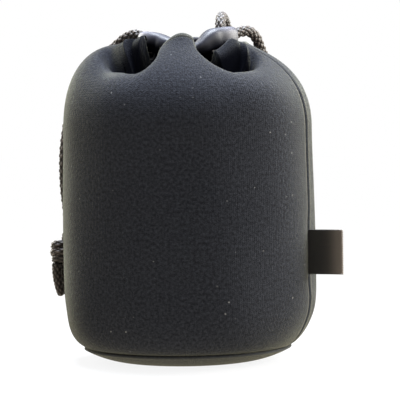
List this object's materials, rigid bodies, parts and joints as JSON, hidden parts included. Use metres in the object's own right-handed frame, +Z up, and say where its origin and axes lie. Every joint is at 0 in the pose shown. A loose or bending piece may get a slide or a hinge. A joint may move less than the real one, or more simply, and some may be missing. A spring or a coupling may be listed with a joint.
{
  "type": "lens pouch",
  "caption": "Soft round drawstring pouch of thick neoprene for a camera lens, with a flat round base, a gathered mouth, a braided cord with a spring lock and a sewn-in side tag.",
  "frame": {"origin": "middle of the flat underside that the pouch stands on", "axes": "+Z up through the mouth, -Y towards the front as pictured, +X towards the tag"},
  "size_m": [0.1051, 0.1004, 0.1247],
  "materials": {
    "neoprene": "brushed jersey over closed-cell foam",
    "binding": "plain woven tape",
    "coated_casing": "smooth coated fabric with a soft gloss",
    "braided_cord": "round braid",
    "lock_plastic": "moulded, satin",
    "spring_steel": "drawn wire",
    "woven_tag": "fine woven ribbon",
    "webbing": "ribbed webbing"
  },
  "bodies": {
    "pouch": {"front_panel": "neoprene", "back_panel": "neoprene", "base_panel": "neoprene", "right_seam_tape": "binding", "left_seam_tape": "binding", "base_seam_tape": "binding", "front_casing": "coated_casing", "back_casing": "coated_casing", "cord_front_run": "braided_cord", "cord_back_run": "braided_cord", "cord_left_front": "braided_cord", "cord_left_back": "braided_cord", "cord_pull_loop": "braided_cord", "end_knot": "braided_cord", "cord_tail_front": "braided_cord", "cord_tail_back": "braided_cord", "belt_loop": "webbing"},
    "lock": {"lock_barrel": "lock_plastic", "lock_spring": "spring_steel"},
    "plunger": {"lock_plunger": "lock_plastic"},
    "tag": {"side_tag": "woven_tag"}
  },
  "joints": [
    {"name": "lock_slide", "type": "slide", "parent": "pouch", "child": "lock", "axis": [0, 0, 1], "range_m": [-0.006, 0.009]},
    {"name": "plunger_press", "type": "slide", "parent": "lock", "child": "plunger", "axis": [-0.788, 0.6157, 0], "range_m": [0, 0.0032], "stiffness_N_per_m": 600, "springref_m": -0.003, "deforming": ["lock_spring"]},
    {"name": "tag_fold", "type": "hinge", "parent": "pouch", "child": "tag", "pos_m": [0.04282, -0.01309, 0.0394], "axis": [0, 0, 1], "range_deg": [-60, 60], "stiffness_Nm_per_rad": 0.0005}
  ]
}
